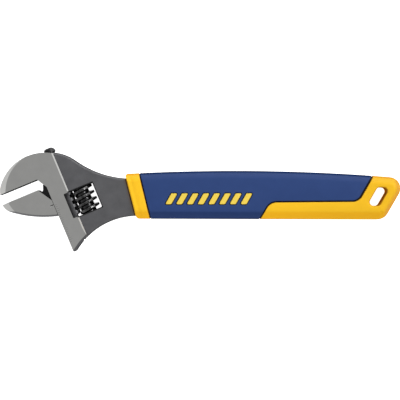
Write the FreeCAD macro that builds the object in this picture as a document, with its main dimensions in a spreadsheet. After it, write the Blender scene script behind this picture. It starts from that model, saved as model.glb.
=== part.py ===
"""Adjustable wrench, 12-inch class, built as its separate pieces.

Row frame: the wrench lies flat, +X runs along the handle away from the jaws, +Y towards the
fixed jaw's side of the head and +Z up, with Z = 0 at the underside of the grip.
Slide frame: the jaws, the worm and their guides are drawn about the worm's centre, with u across
the slide (the direction the jaws point away from), v along the slide (closing) and z as above.
Everything is symmetric about the mid-plane, where both frames have z = 0 while they are drawn.
"""
import FreeCAD, Part
import math
import os

Vector = FreeCAD.Vector
Rotation = FreeCAD.Rotation
Placement = FreeCAD.Placement

DIMENSIONS = {
    # the two frames
    "head_angle": 22.5,         # slide frame to row frame, degrees
    "worm_x": -88.6,            # worm centre in the row frame
    "worm_y": 0.1,
    "grip_thick": 20.0,
    # forging
    "head_thick": 18.0,
    "web_thick": 15.0,
    "shank_thick": 11.0,
    "forged_round": 2.0,        # rounded edges of the forged web
    "shank_round": 2.5,
    "head_arc": 35.4,           # round back of the fixed jaw
    "rail_left": -22.65,
    "rail_right": -8.5,
    "rail_chamfer": 1.0,
    "tail_bevel": 1.7,
    "fixed_face": 28.1,         # gripping faces, along the slide
    "moving_face": 20.3,
    "throat_left": -27.3,
    "throat_slope": 60.0,
    "face_tip": -58.2,
    "nose_left": -56.7,         # where the round back ends, over the face's tip
    "rail_foot": -19.0,         # where the rail's right edge starts to lean out
    # window for the worm
    "window_left": -12.9,
    "window_right": 10.6,
    "window_half": 10.0,
    "window_corner": 0.8,
    # jaw slide
    "rod_offset": -10.7,
    "rod_radius": 4.3,
    "rod_top": 47.5,
    "rod_bottom": -9.7,
    "rod_end_round": 1.4,
    "rod_corner_round": 3.5,    # larger round on the worm's side of the rod's end
    "slide_clearance": 0.05,
    "neck_thick": 6.2,
    "slot_thick": 6.4,
    "slot_top": 31.2,
    # worm and rack
    "worm_radius": 9.3,
    "worm_root": 5.8,
    "worm_length": 19.8,
    "thread_pitch": 5.08,
    "thread_crest": 1.9,
    "thread_flank": 9.7,        # flank angle, degrees
    "thread_phase": -2.56,      # where the crest passes the mid-front of the worm
    "rack_floor": -9.5,
    "rack_tooth_tip": 1.7,
    "rack_teeth": 11,
    # worm pin and spring
    "pin_radius": 2.5,
    "pin_top": 16.5,
    "pin_thread_radius": 3.2,
    "pin_thread_top": -11.5,
    "pin_end": -23.6,
    "pin_slot_wide": 1.2,
    "pin_slot_deep": 1.6,
    "running_clearance": 0.06,
    "spring_wire": 0.8,
    "spring_coil": 3.4,         # mean radius
    "spring_half_turns": 4,
    "spring_pitch": 1.5,
    "spring_pocket": 4.2,
    "spring_pocket_deep": 4.0,
    # grip
    "grip_round": 5.0,
    "collar_round": 1.4,
    "sleeve_thick": 15.4,
    "seam_wide": 0.9,
    "hang_slot_wide": 8.3,      # between its slanted sides
    "hang_slot_tall": 14.0,
    "hang_slot_corner": 2.9,
    "hang_slot_x": 136.5,
    "hang_slot_y": 2.6,
    "hang_slot_angle": 60.0,
    "bar_count": 8,
    "bar_pitch": 8.2,
    "bar_wide": 4.6,
    "bar_tall": 8.4,
    "bar_deep": 1.2,
    "bar_first_x": -24.2,
    "bar_mid_y": 0.9,
}

doc = FreeCAD.newDocument("adjustable_wrench")
sheet = doc.addObject("Spreadsheet::Sheet", "dims")
for row, (name, value) in enumerate(DIMENSIONS.items(), 1):
    sheet.set(f"A{row}", name)
    sheet.set(f"B{row}", str(value))
    sheet.setAlias(f"B{row}", name)
doc.recompute()


def size(name):
    """A driving dimension, read back from the spreadsheet."""
    return float(sheet.get(name))


def bind(thing, **expressions):
    """Ties properties of a document object to cells of the spreadsheet."""
    for name, expression in expressions.items():
        thing.setExpression(name, expression)


def head_placement():
    """Slide frame to row frame."""
    base = Vector(size("worm_x"), size("worm_y"), size("grip_thick") / 2)
    return Placement(base, Rotation(Vector(0, 0, 1), size("head_angle")))


def place_in_head(thing):
    """Sets a piece that is drawn in the slide frame into the row frame."""
    thing.Placement = head_placement()
    thing.setExpression("Placement.Base.x", "dims.worm_x")
    thing.setExpression("Placement.Base.y", "dims.worm_y")
    thing.setExpression("Placement.Base.z", "dims.grip_thick / 2")


def place_on_handle(thing):
    """Raises a piece that is drawn about the mid-plane of the handle."""
    thing.setExpression("Placement.Base.z", "dims.grip_thick / 2")


# ---------------------------------------------------------------- outlines


class Outline:
    """A closed outline of lines and arcs in a sketch's plane."""

    def __init__(self, x, y):
        self.start = self.here = Vector(x, y, 0)
        self.heading = None
        self.edges = []

    def line(self, x, y):
        end = Vector(x, y, 0)
        self.edges.append(Part.LineSegment(self.here, end))
        self.heading = (end - self.here).normalize()
        self.here = end
        return self

    def arc(self, centre, x, y, short=True):
        """An arc about a centre to the point x, y, the short way round or the long one."""
        middle_of = Vector(centre[0], centre[1], 0)
        end = Vector(x, y, 0)
        out = (self.here - middle_of) + (end - middle_of)
        out.normalize()
        if not short:
            out = -out
        through = middle_of + out * (self.here - middle_of).Length
        self.edges.append(Part.Arc(self.here, through, end))
        side = (end - middle_of).cross(Vector(0, 0, 1)).normalize()
        self.heading = side if side.dot(end - through) > 0 else -side
        self.here = end
        return self

    def tangent(self, x, y):
        """An arc that leaves along the present heading and ends at the point x, y."""
        end = Vector(x, y, 0)
        chord = end - self.here
        along = Vector(chord).normalize()
        left = Vector(-along.y, along.x, 0)
        turn = math.atan2(self.heading.dot(left), self.heading.dot(along))
        through = (self.here + end) / 2 + left * (chord.Length / 2 * math.tan(turn / 2))
        self.edges.append(Part.Arc(self.here, through, end))
        self.heading = along * (2 * self.heading.dot(along)) - self.heading
        self.here = end
        return self

    def close(self):
        return self.line(self.start.x, self.start.y).edges


def rounded(corners):
    """A closed outline through corners (x, y, radius)."""
    count = len(corners)
    cut = []
    for i, (x, y, radius) in enumerate(corners):
        corner = Vector(x, y, 0)
        before = (Vector(*corners[i - 1][:2], 0) - corner).normalize()
        after = (Vector(*corners[(i + 1) % count][:2], 0) - corner).normalize()
        half = before.getAngle(after) / 2
        reach = radius / math.tan(half)
        middle = (before + after).normalize()
        through = corner + middle * (radius / math.sin(half) - radius)
        cut.append((corner + before * reach, through, corner + after * reach, radius))
    edges = []
    for i, (first, through, last, radius) in enumerate(cut):
        if radius:
            edges.append(Part.Arc(first, through, last))
        edges.append(Part.LineSegment(last, cut[(i + 1) % count][0]))
    return edges


# ---------------------------------------------------------------- document helpers


def new_body(name):
    return doc.addObject("PartDesign::Body", name)


def origin_plane(body, role):
    return next(f for f in body.Origin.OriginFeatures if f.Role == role)


def new_sketch(body, name, edges=(), role="XY_Plane", offset=None):
    sketch = body.newObject("Sketcher::SketchObject", name)
    sketch.AttachmentSupport = [(origin_plane(body, role), "")]
    sketch.MapMode = "FlatFace"
    if offset is not None:
        sketch.AttachmentOffset = offset
    for edge in edges:
        sketch.addGeometry(edge, False)
    return sketch


def pad(body, name, edges, thickness):
    """A plate of the outline, half its thickness each side of the mid-plane."""
    feature = body.newObject("PartDesign::Pad", name)
    feature.Profile = new_sketch(body, name + "_outline", edges)
    feature.SideType = "Symmetric"
    bind(feature, Length=thickness)
    doc.recompute()
    return feature


def edges_where(shape, wanted):
    """Names of the edges whose middle point passes the test."""
    names = []
    for number, edge in enumerate(shape.Edges, 1):
        middle = edge.valueAt((edge.FirstParameter + edge.LastParameter) / 2)
        if wanted(middle):
            names.append(f"Edge{number}")
    return names


def dress(body, kind, name, wanted, length):
    """A fillet or chamfer on the edges of the body's tip that pass the test."""
    tip = body.Tip
    feature = body.newObject("PartDesign::" + kind, name)
    feature.Base = (tip, edges_where(tip.Shape, wanted))
    bind(feature, **{"Radius" if kind == "Fillet" else "Size": length})
    doc.recompute()
    return feature


BEVEL_CROWN = 0.005                  # a ground bevel bulges by this share of its width


def bevel_ring(body, name, centre, radius, slope, azimuth, sweep, reach=12.0):
    """Bevels both faces of the head beyond a circle round the centre, over a sector.

    It falls away outwards, or towards the centre where reach is negative, and is slightly
    crowned, as a belt grinds it.
    """
    x, y = centre
    half = size("head_thick") / 2
    turned = Placement(Vector(x, 0, -y), Rotation(Vector(0, 1, 0), azimuth))
    drop = abs(reach) * math.tan(math.radians(slope))
    bulge = math.hypot(reach, drop) * BEVEL_CROWN
    sketch = new_sketch(body, name + "_profile", role="XZ_Plane", offset=turned)
    for side in (1, -1):
        inner, outer = Vector(radius, side * half, 0), Vector(radius + reach, side * (half - drop), 0)
        over_inner, over_outer = Vector(inner), Vector(outer)
        over_inner.y = over_outer.y = side * (half + 1)
        crown = (inner + outer) / 2 + Vector(0, side * bulge, 0)
        sketch.addGeometry(Part.Arc(inner, crown, outer), False)
        for start, end in ((outer, over_outer), (over_outer, over_inner), (over_inner, inner)):
            sketch.addGeometry(Part.LineSegment(start, end), False)
    groove = body.newObject("PartDesign::Groove", name)
    groove.Profile = sketch
    groove.ReferenceAxis = (sketch, ["V_Axis"])
    groove.Midplane = True
    groove.Angle = sweep
    doc.recompute()
    return groove


def cylinder(name, radius, bottom, top, offset=0.0):
    """A cylinder along the slide, between two places on it."""
    made = doc.addObject("Part::Cylinder", name)
    bind(made, Radius=radius, Height=f"({top}) - ({bottom})")
    made.Placement = Placement(Vector(offset, 0, 0), Rotation(Vector(1, 0, 0), -90))
    made.setExpression("Placement.Base.y", bottom)
    return made


def boolean(kind, name, *pieces):
    """Part::Cut takes a base and a tool; Part::MultiFuse and Part::MultiCommon take several."""
    made = doc.addObject("Part::" + kind, name)
    if kind == "Cut":
        made.Base, made.Tool = pieces
    else:
        made.Shapes = list(pieces)
    made.Refine = True
    doc.recompute()
    return made


# ---------------------------------------------------------------- forging


# centres are in the slide frame
HEAD_CENTRE = (-27.56, 12.25)        # the fixed jaw's round back
TAIL_CENTRE = (11.9, -77.75)         # the concave lower edge
TAIL_ARC = 55.0
TAIL_TIP_ROUND = 1.1
NOSE_BEVEL_CENTRE = (-24.44, 16.54)
NOSE_BEVEL_ARC, NOSE_BEVEL_SLOPE = 31.2, 23.0


def on_head_arc(u):
    return HEAD_CENTRE[1] + math.sqrt(size("head_arc") ** 2 - (u - HEAD_CENTRE[0]) ** 2)


def on_tail_arc(u):
    return TAIL_CENTRE[1] + math.sqrt(TAIL_ARC**2 - (u - TAIL_CENTRE[0]) ** 2)


def tail_tip():
    """Centre of the tail's tip, which touches the rail's edge and the concave lower edge."""
    u = size("rail_left") + TAIL_TIP_ROUND
    away = TAIL_ARC + TAIL_TIP_ROUND
    return u, TAIL_CENTRE[1] + math.sqrt(away**2 - (u - TAIL_CENTRE[0]) ** 2)


def ground_head_outline():
    """Fixed jaw and rail: all of the head that is ground flat, in the slide frame."""
    left, right, face = size("rail_left"), size("rail_right"), size("fixed_face")
    throat = size("throat_left")
    tip = tail_tip()
    share = TAIL_ARC / (TAIL_ARC + TAIL_TIP_ROUND)
    touch = [TAIL_CENTRE[i] + (tip[i] - TAIL_CENTRE[i]) * share for i in (0, 1)]
    foot = right + size("rail_chamfer")
    nose = size("nose_left")
    outline = Outline(size("face_tip"), face)
    outline.line(throat, face)
    outline.line(left, face - (left - throat) * math.tan(math.radians(size("throat_slope"))))
    outline.line(left, tip[1])
    outline.tangent(*touch)
    outline.arc(TAIL_CENTRE, foot, on_tail_arc(foot))
    outline.line(right, size("rail_foot"))
    outline.line(right, on_head_arc(right))
    outline.arc(HEAD_CENTRE, nose, on_head_arc(nose))
    return outline.close()


def web_outline():
    """Forged web from under the rail to the grip, in the row frame."""
    tail = head_placement().multVec(Vector(-20.0, on_tail_arc(-20.0), 0))
    tail_centre = head_placement().multVec(Vector(*TAIL_CENTRE, 0))
    inside_low = head_placement().multVec(Vector(-20.0, -20.0, 0))
    inside_high = head_placement().multVec(Vector(-15.0, 36.0, 0))
    in_grip = -46.0
    outline = Outline(-113.9, 36.6)
    outline.arc((-114.44, 6.01), -96.55, 30.84)
    outline.tangent(-58.2, 16.7)
    outline.tangent(-52.0, 16.1)
    outline.line(in_grip, tail_centre.y + math.sqrt(TAIL_ARC**2 - (in_grip - tail_centre.x) ** 2))
    outline.arc((tail_centre.x, tail_centre.y), tail.x, tail.y)
    outline.line(inside_low.x, inside_low.y)
    outline.line(inside_high.x, inside_high.y)
    return outline.close()


def shank_outline():
    return rounded([(-66.0, 12.5, 0), (112.0, 11.0, 6), (104.0, -7.5, 6), (-62.0, -8.5, 0)])


def make_forging():
    half = size("head_thick") / 2
    rail_right = size("rail_right")

    head = new_body("head_blank")
    pad(head, "ground_head", ground_head_outline(), "dims.head_thick")

    def rail_edge(point):
        along_rail = -0.1 < point.x - rail_right < size("rail_chamfer")
        return abs(abs(point.z) - half) < 0.01 and along_rail

    dress(head, "Chamfer", "rail_edge_chamfer", rail_edge, "dims.rail_chamfer")
    bevel_ring(head, "nose_bevel", NOSE_BEVEL_CENTRE, NOSE_BEVEL_ARC, NOSE_BEVEL_SLOPE, 150, 90)
    tail_edge = TAIL_ARC + size("tail_bevel")
    bevel_ring(head, "tail_edge_bevel", TAIL_CENTRE, tail_edge, 45, 118, 30, reach=-5.0)

    web = new_body("web_blank")
    pad(web, "web", web_outline(), "dims.web_thick")
    web_half = size("web_thick") / 2

    def forged_edge(point):
        local = head_placement().inverse().multVec(Vector(point.x, point.y, 0))
        on_face = abs(abs(point.z) - web_half) < 0.01
        return on_face and local.x > rail_right - 3 and point.x < -53.5

    dress(web, "Fillet", "forged_edges", forged_edge, "dims.forged_round")

    shank = new_body("shank_blank")
    pad(shank, "shank", shank_outline(), "dims.shank_thick")
    shank_half = size("shank_thick") / 2
    dress(
        shank,
        "Fillet",
        "shank_edges",
        lambda point: abs(abs(point.z) - shank_half) < 0.01 and point.x > -60,
        "dims.shank_round",
    )
    # the handle's blanks are drawn in the row frame, so they turn back into the slide frame
    back = Placement(head_placement())
    back.Base.z = 0
    for blank in (web, shank):
        blank.Placement = back.inverse()
    solid = boolean("MultiFuse", "forging_blank", head, web, shank)

    window = new_body("window_tool")
    left, right, high = size("window_left"), size("window_right"), size("window_half")
    corner = size("window_corner")
    corners = [(left, high, corner), (right, high, corner), (right, -high, corner)]
    pad(window, "window", rounded(corners + [(left, -high, corner)]), "dims.head_thick + 4")

    slot = new_body("slot_tool")
    top, rod = size("slot_top"), size("rod_offset")
    face = size("fixed_face") - 0.1
    corners = [(-40, -60, 0), (-40, face, 0), (-28.2, face, 0), (-27.0, top, 2)]
    pad(slot, "slot", rounded(corners + [(rod, top, 0), (rod, -60, 0)]), "dims.slot_thick")

    bore = cylinder(
        "bore_tool", "dims.rod_radius + dims.slide_clearance", "-60", "60", size("rod_offset")
    )
    pin_bore = cylinder(
        "pin_bore_tool", "dims.pin_radius + dims.slide_clearance", "-40", "dims.pin_top + 0.3"
    )
    thread_bore = cylinder(
        "pin_thread_tool", "dims.pin_thread_radius", "-40", "dims.pin_thread_top"
    )
    tools = boolean("MultiFuse", "head_tools", window, slot, bore, pin_bore, thread_bore)
    forging = boolean("Cut", "body", solid, tools)
    place_in_head(forging)
    return forging


# ---------------------------------------------------------------- movable jaw


# centres are in the slide frame
JAW_ARC_CENTRE = (-0.57, 79.88)       # the movable jaw's long lower arc
JAW_ARC = 86.68
JAW_NOSE_CENTRE = (-50.1, 20.3)
JAW_NOSE = 9.2
JAW_BEVEL_CENTRE = (-36.0, 20.3)
JAW_BEVEL_ARC, JAW_BEVEL_SLOPE = 18.2, 21.0
JAW_EDGE_BREAK = 1.4
JAW_THROAT, JAW_THROAT_SLOPE = -29.8, 58.5


def jaw_block_outline():
    face = size("moving_face")
    side = size("rail_left") - 0.3
    heel = JAW_ARC_CENTRE[1] - math.sqrt(JAW_ARC**2 - (side - JAW_ARC_CENTRE[0]) ** 2)
    nose_out = [JAW_NOSE_CENTRE[i] - JAW_ARC_CENTRE[i] for i in (0, 1)]
    share = JAW_ARC / math.hypot(*nose_out)
    touch = [JAW_ARC_CENTRE[i] + nose_out[i] * share for i in (0, 1)]
    outline = Outline(JAW_THROAT, face)
    outline.line(JAW_NOSE_CENTRE[0] - JAW_NOSE, face)
    outline.arc(JAW_NOSE_CENTRE, *touch)
    outline.arc(JAW_ARC_CENTRE, side, heel)
    outline.line(side, face - (side - JAW_THROAT) * math.tan(math.radians(JAW_THROAT_SLOPE)))
    return outline.close()


def neck_outline():
    rod = size("rod_offset")
    return rounded(
        [
            (-34.0, 12.0, 0),
            (-31.6, 17.6, 0),
            (-26.9, 18.5, 2.0),
            (-25.2, 23.0, 0.6),
            (rod, 23.0, 0),
            (rod, -9.0, 0),
            (-20.5, -9.0, 2.0),
            (-24.0, -1.0, 0),
        ]
    )


def rack_gullet_edges():
    """One trapezoid per gullet, in the mid-plane of the rod."""
    pitch, crown = size("thread_pitch"), size("rack_tooth_tip")
    tip = size("rod_offset") + size("rod_radius")
    floor = size("rack_floor")
    grow = math.tan(math.radians(size("thread_flank")))
    narrow = (pitch - crown) / 2 - (tip - floor) * grow
    wide = (pitch - crown) / 2 + grow
    first = size("thread_phase") - pitch / 4 - pitch
    edges = []
    for number in range(int(size("rack_teeth"))):
        middle = first + number * pitch
        ring = [
            Vector(floor, middle - narrow, 0),
            Vector(tip + 1, middle - wide, 0),
            Vector(tip + 1, middle + wide, 0),
            Vector(floor, middle + narrow, 0),
        ]
        edges += [Part.LineSegment(ring[i - 1], ring[i]) for i in range(4)]
    return edges


def make_movable_jaw():
    block = new_body("jaw_blank")
    pad(block, "jaw_block", jaw_block_outline(), "dims.head_thick")
    bevel_ring(block, "jaw_nose_bevel", JAW_BEVEL_CENTRE, JAW_BEVEL_ARC, JAW_BEVEL_SLOPE, 207, 70)
    lower_edge = JAW_ARC - JAW_EDGE_BREAK
    bevel_ring(block, "jaw_edge_break", JAW_ARC_CENTRE, lower_edge, 45, 240, 40, reach=3.0)
    pad(block, "neck", neck_outline(), "dims.neck_thick")

    rod = cylinder("jaw_rod", "dims.rod_radius", "dims.rod_bottom", "dims.rod_top")
    rod.setExpression("Placement.Base.x", "dims.rod_offset")
    doc.recompute()
    top, end_round = size("rod_top"), size("rod_end_round")
    rounded_rod = doc.addObject("Part::Fillet", "jaw_rod_end")
    rounded_rod.Base = rod
    end_edges = edges_where(rod.Shape, lambda point: point.y > top - 0.01)
    rounded_rod.Edges = [(int(name[4:]), end_round, end_round) for name in end_edges]
    blank = boolean("MultiFuse", "jaw_and_rod", block, rounded_rod)

    # teeth lean as the worm's thread does where it meets them
    mesh_radius = (size("worm_radius") - size("rod_offset") - size("rod_radius")) / 2
    lean = size("thread_pitch") / (2 * math.pi * mesh_radius)
    profile = doc.addObject("Sketcher::SketchObject", "rack_gullets_outline")
    for edge in rack_gullet_edges():
        profile.addGeometry(edge, False)
    gullets = doc.addObject("Part::Extrusion", "rack_gullets")
    gullets.Base = profile
    gullets.DirMode = "Custom"
    gullets.Dir = Vector(0, lean, 1)
    gullets.Solid = True
    gullets.Symmetric = True
    bind(gullets, LengthFwd="2 * dims.rod_radius + 4")

    # the rod's upper end is ground round on the worm's side
    corner = new_body("rod_corner_tool")
    corner_round, side = size("rod_corner_round"), size("rod_offset") + size("rod_radius")
    centre = (side - corner_round, top - corner_round)
    outline = Outline(centre[0], top).arc(centre, side, centre[1])
    outline.line(side + 1, centre[1]).line(side + 1, top + 1).line(centre[0], top + 1)
    pad(corner, "rod_corner", outline.close(), "2 * dims.rod_radius + 4")
    tools = boolean("MultiFuse", "jaw_tools", gullets, corner)
    jaw = boolean("Cut", "movable_jaw", blank, tools)
    place_in_head(jaw)
    return jaw


# ---------------------------------------------------------------- worm, pin and spring


def make_worm():
    """Right-handed worm with a spring pocket in its lower end; its axis is local Z."""
    length, pitch = size("worm_length"), size("thread_pitch")
    grow = math.tan(math.radians(size("thread_flank")))
    crest, outer, root = size("thread_crest"), size("worm_radius"), size("worm_root")
    inner = root - 0.8
    crest_half = crest / 2
    base_half = crest_half + (outer - inner) * grow
    start = size("thread_phase") - 3 * pitch

    core = doc.addObject("Part::Cylinder", "worm_core")
    bind(core, Radius="dims.worm_root", Height="dims.worm_length")
    core.setExpression("Placement.Base.z", "-dims.worm_length / 2")

    helix = doc.addObject("Part::Helix", "thread_path")
    bind(helix, Pitch="dims.thread_pitch", Height="dims.thread_pitch * 6", Radius="dims.worm_root")
    helix.Placement = Placement(Vector(0, 0, start), Rotation())
    profile = doc.addObject("Sketcher::SketchObject", "thread_profile")
    profile.Placement = Placement(Vector(0, 0, start), Rotation(Vector(1, 0, 0), 90))
    ring = [
        Vector(inner, -base_half, 0),
        Vector(outer, -crest_half, 0),
        Vector(outer, crest_half, 0),
        Vector(inner, base_half, 0),
    ]
    for i in range(4):
        profile.addGeometry(Part.LineSegment(ring[i - 1], ring[i]), False)
    doc.recompute()
    thread = doc.addObject("Part::Sweep", "thread")
    thread.Sections = [profile]
    thread.Spine = (helix, [f"Edge{i}" for i in range(1, len(helix.Shape.Edges) + 1)])
    thread.Solid = True
    thread.Frenet = True
    doc.recompute()

    span = doc.addObject("Part::Cylinder", "worm_span")
    bind(span, Radius="dims.worm_radius + 1", Height="dims.worm_length")
    span.setExpression("Placement.Base.z", "-dims.worm_length / 2")
    trimmed = boolean("MultiCommon", "thread_trimmed", thread, span)
    blank = boolean("MultiFuse", "worm_blank", core, trimmed)

    bore = doc.addObject("Part::Cylinder", "worm_bore")
    bind(bore, Radius="dims.pin_radius + dims.running_clearance", Height="dims.worm_length + 2")
    bore.setExpression("Placement.Base.z", "-dims.worm_length / 2 - 1")
    pocket = doc.addObject("Part::Cylinder", "spring_pocket_tool")
    bind(pocket, Radius="dims.spring_pocket", Height="dims.spring_pocket_deep + 1")
    pocket.setExpression("Placement.Base.z", "-dims.worm_length / 2 - 1")
    tools = boolean("MultiFuse", "worm_tools", bore, pocket)
    worm = boolean("Cut", "adjusting_worm", blank, tools)
    # local X points up, Y across the slide and Z along it
    turn = Rotation(Vector(0, 0, 1), Vector(1, 0, 0), Vector(0, 1, 0), "ZXY")
    worm.Placement = head_placement().multiply(Placement(Vector(), turn))
    return worm


def make_worm_pin():
    """Screw pin: a plain journal for the worm and a threaded, slotted end in the lower wall."""
    journal = cylinder("pin_journal", "dims.pin_radius", "dims.pin_end", "dims.pin_top")
    screw = cylinder(
        "pin_screw",
        "dims.pin_thread_radius - dims.slide_clearance",
        "dims.pin_end",
        "dims.pin_thread_top - 0.3",
    )
    pin = boolean("MultiFuse", "pin_blank", journal, screw)
    slot = doc.addObject("Part::Box", "pin_slot_tool")
    bind(
        slot,
        Length="dims.pin_thread_radius * 3",
        Width="dims.pin_slot_deep + 1",
        Height="dims.pin_slot_wide",
    )
    slot.setExpression("Placement.Base.x", "-dims.pin_thread_radius * 1.5")
    slot.setExpression("Placement.Base.y", "dims.pin_end - 1")
    slot.setExpression("Placement.Base.z", "-dims.pin_slot_wide / 2")
    made = boolean("Cut", "worm_pin", pin, slot)
    place_in_head(made)
    return made


def make_worm_spring():
    """Small compression spring round the pin, in the worm's lower end.

    Each half turn is half a torus, tilted so that it climbs half the spring's pitch.
    """
    climb, coil = size("spring_pitch") / 4, size("spring_coil")
    tilt = Rotation(Vector(0, 1, 0), math.degrees(math.atan(climb / coil)))
    halves = []
    for number in range(int(size("spring_half_turns"))):
        half_turn = doc.addObject("Part::Torus", f"spring_half_turn_{number + 1}")
        bind(half_turn, Radius2="dims.spring_wire / 2")
        half_turn.setExpression("Radius1", "sqrt(dims.spring_coil ^ 2 + (dims.spring_pitch / 4) ^ 2)")
        half_turn.Angle3 = 180
        turn = Rotation(Vector(0, 0, 1), 180 * number).multiply(tilt)
        half_turn.Placement = Placement(Vector(0, 0, (2 * number + 1) * climb), turn)
        halves.append(half_turn)
    spring = boolean("MultiFuse", "worm_spring", *halves)
    bottom = -size("window_half") + size("spring_wire") / 2 + 0.03
    stand = Placement(Vector(0, bottom, 0), Rotation(Vector(1, 0, 0), -90))
    spring.Placement = head_placement().multiply(stand)
    return spring


# ---------------------------------------------------------------- grip


def grip_outline():
    """Side view of the whole grip, in the row frame."""
    top_centre = (26.2, -1497.55)
    slant = math.radians(size("hang_slot_angle"))
    corner = (145.4, 8.95)
    corner_round = 8.8
    out = (math.sin(slant) * corner_round, -math.cos(slant) * corner_round)
    heel = (136.2, -5.55)
    heel_round = 9.5
    outline = Outline(-57.7, 20.3)
    outline.arc(top_centre, 146.0, 17.73)
    outline.arc(corner, corner[0] + out[0], corner[1] + out[1])
    outline.line(heel[0] + math.sin(slant) * heel_round, heel[1] - math.cos(slant) * heel_round)
    outline.tangent(heel[0], heel[1] - heel_round)
    outline.line(-48.7, -14.4)
    return outline.close()


def shell_zone_outline(grow):
    """Panel that the outer shell covers, moved outward by grow on the sides that meet the base."""
    slant = math.radians(size("hang_slot_angle"))
    lean = math.radians(14.9)
    left = grow / math.cos(lean)
    right = grow / math.sin(slant)
    corner_in, corner_out = 8.0 + grow, 9.0 - grow
    step_y, panel_y = -1.5 - grow, -0.9 - grow
    foot_x = 45.7 + right
    step_x = foot_x + (step_y + 14.9) / math.tan(slant)
    rear_x = 121.0 + right
    rise_x = rear_x + (24.0 - panel_y) / math.tan(slant)
    return rounded(
        [
            (-47.3 - left, 24.0, 0),
            (rise_x, 24.0, 0),
            (rear_x, panel_y, corner_in),
            (step_x, step_y, corner_out),
            (foot_x - 0.6, -15.9, 0),
            (-37.6 - left, -15.9, 0),
        ]
    )


def sleeve_outline():
    return rounded([(-50.0, 15.6, 0), (126.0, 14.0, 5), (116.0, -10.6, 5), (-46.0, -11.2, 0)])


def hang_slot_outline():
    """Leaning slot with level ends."""
    slant = math.radians(size("hang_slot_angle"))
    x, y, corner = size("hang_slot_x"), size("hang_slot_y"), size("hang_slot_corner")
    high = size("hang_slot_tall") / 2
    side = size("hang_slot_wide") / 2 / math.sin(slant)
    lean = high / math.tan(slant)
    return rounded(
        [
            (x - side - lean, y - high, corner),
            (x + side - lean, y - high, corner),
            (x + side + lean, y + high, corner),
            (x - side + lean, y + high, corner),
        ]
    )


def bar_outlines():
    """Row of slanted bars that decorates the panel."""
    slant = math.radians(size("hang_slot_angle"))
    wide, tall, middle = size("bar_wide"), size("bar_tall"), size("bar_mid_y")
    lean = tall / 2 / math.tan(slant)
    edges = []
    for number in range(int(size("bar_count"))):
        x = size("bar_first_x") + number * size("bar_pitch")
        edges += rounded(
            [
                (x - lean, middle - tall / 2, 0.7),
                (x - lean + wide, middle - tall / 2, 0.7),
                (x + lean + wide, middle + tall / 2, 0.7),
                (x + lean, middle + tall / 2, 0.7),
            ]
        )
    return edges


def make_grip(forging):
    half = size("grip_thick") / 2
    outer = new_body("grip_outer")
    pad(outer, "grip_plate", grip_outline(), "dims.grip_thick")

    def on_face(point):
        return abs(abs(point.z) - half) < 0.01

    def front_edge(point):
        return on_face(point) and point.x < -50

    dress(outer, "Fillet", "grip_edges", lambda p: on_face(p) and p.x > -50, "dims.grip_round")
    dress(outer, "Fillet", "collar_edges", front_edge, "dims.collar_round")
    slot = outer.newObject("PartDesign::Pocket", "hang_slot")
    slot.Profile = new_sketch(outer, "hang_slot_outline", hang_slot_outline())
    slot.Midplane = True
    slot.Type = "ThroughAll"
    doc.recompute()

    cover = new_body("shell_zone")
    pad(cover, "shell_panel", shell_zone_outline(-size("seam_wide") / 2), "dims.grip_thick + 4")
    room = new_body("shell_room")
    pad(room, "shell_room_panel", shell_zone_outline(size("seam_wide") / 2), "dims.grip_thick + 4")
    sleeve = new_body("sleeve")
    pad(sleeve, "sleeve_plate", sleeve_outline(), "dims.sleeve_thick")

    bars = new_body("bar_plates")
    bars.AllowCompound = True
    pad(bars, "bars_through", bar_outlines(), "dims.grip_thick")
    bars_middle = doc.addObject("Part::Box", "bars_middle")
    bind(
        bars_middle,
        Length="dims.bar_count * dims.bar_pitch + 20",
        Width="dims.bar_tall + 10",
        Height="dims.grip_thick - 2 * dims.bar_deep",
    )
    bars_middle.setExpression("Placement.Base.x", "dims.bar_first_x - 10")
    bars_middle.setExpression("Placement.Base.y", "dims.bar_mid_y - dims.bar_tall / 2 - 5")
    bars_middle.setExpression("Placement.Base.z", "dims.bar_deep - dims.grip_thick / 2")
    pockets = boolean("Cut", "bar_pockets", bars, bars_middle)
    inlays = boolean("MultiCommon", "grip_inlays", pockets, outer)

    shell_blank = boolean("MultiCommon", "shell_blank", outer, cover)
    hollow = boolean("MultiFuse", "shell_hollow", sleeve, pockets)
    shell = boolean("Cut", "grip_shell", shell_blank, hollow)

    taken = boolean("Cut", "base_hollow", room, sleeve)
    base_blank = boolean("Cut", "base_blank", outer, taken)
    for piece in (inlays, shell, base_blank):
        place_on_handle(piece)
    doc.recompute()
    base = boolean("Cut", "grip_base", base_blank, forging)
    return [base, shell, inlays]


# ---------------------------------------------------------------- assembly


forging = make_forging()
nodes = [forging, make_movable_jaw(), make_worm(), make_worm_pin(), make_worm_spring()]
nodes += make_grip(forging)
doc.recompute()

for thing in doc.Objects:
    if {"Invalid", "Error"} & set(thing.State):
        raise RuntimeError(f"{thing.Name} failed: {thing.State}")
for piece in nodes:
    piece.Label = piece.Name
    shape = piece.Shape
    if shape.isNull() or not shape.isValid() or not shape.Solids:
        raise RuntimeError(f"{piece.Name} has no valid solid")

os.makedirs("parts", exist_ok=True)
for piece in nodes:
    piece.Shape.exportStep(f"parts/{piece.Label}.step")
    box = piece.Shape.BoundBox
    print(
        f"{piece.Label:16s} solids {len(piece.Shape.Solids):2d}  volume {piece.Shape.Volume:9.1f}  "
        f"x {box.XMin:7.2f} {box.XMax:7.2f}  y {box.YMin:6.2f} {box.YMax:6.2f}  "
        f"z {box.ZMin:5.2f} {box.ZMax:5.2f}"
    )
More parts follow.
